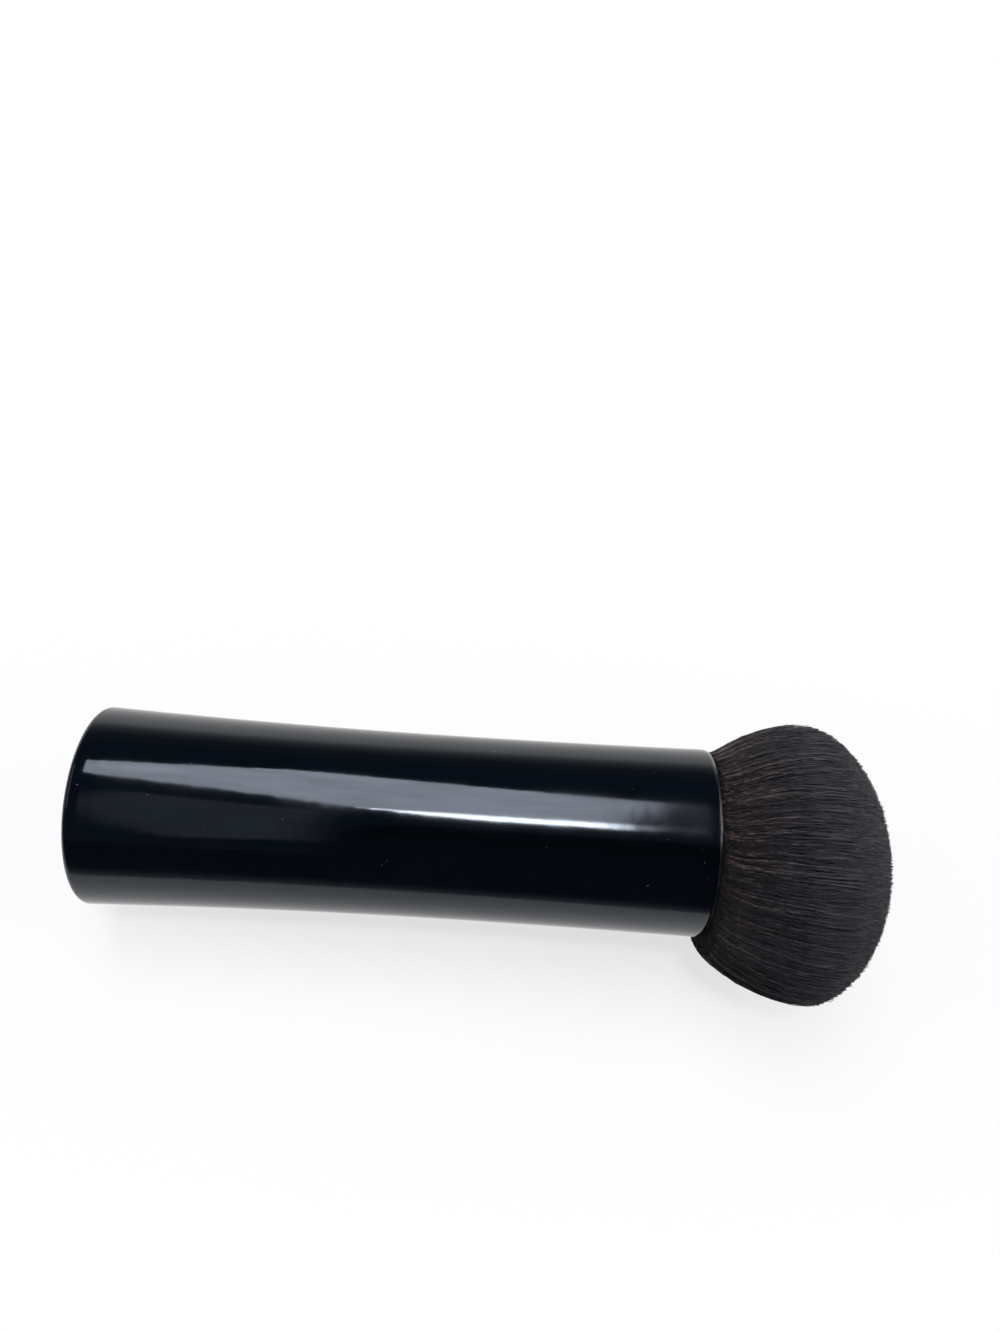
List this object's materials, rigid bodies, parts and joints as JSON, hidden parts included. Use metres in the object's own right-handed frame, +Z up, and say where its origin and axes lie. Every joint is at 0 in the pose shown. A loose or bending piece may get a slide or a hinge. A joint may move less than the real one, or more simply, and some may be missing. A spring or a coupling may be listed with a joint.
{
  "type": "kabuki makeup brush",
  "caption": "Long-barrelled kabuki makeup brush lying on its side, with a black lacquered weighted barrel and a dense dome of dark bristles.",
  "frame": {"origin": "on the surface that the brush lies on, under the centre of its box", "axes": "+X along the brush, from the barrel's base towards the bristles; +Z up; -Y is the side that faces the picture's camera"},
  "size_m": [0.1261, 0.044, 0.0436],
  "materials": {
    "black_lacquer": "gloss",
    "black_plastic": "satin",
    "weight_steel": "satin",
    "foam": "matte",
    "carrier_plastic": "matte",
    "ferrule_metal": "polished",
    "epoxy": "satin",
    "thread": "matte",
    "bristle": "satin"
  },
  "bodies": {
    "root": {"outer_sleeve": "black_lacquer", "base_plug": "black_plastic", "balance_weight": "weight_steel", "weight_pad": "foam", "weight_carrier": "carrier_plastic", "ferrule": "ferrule_metal", "knot_glue": "epoxy", "knot_binding": "thread", "core_bristles": "bristle", "skirt_bristles": "bristle"}
  },
  "joints": []
}
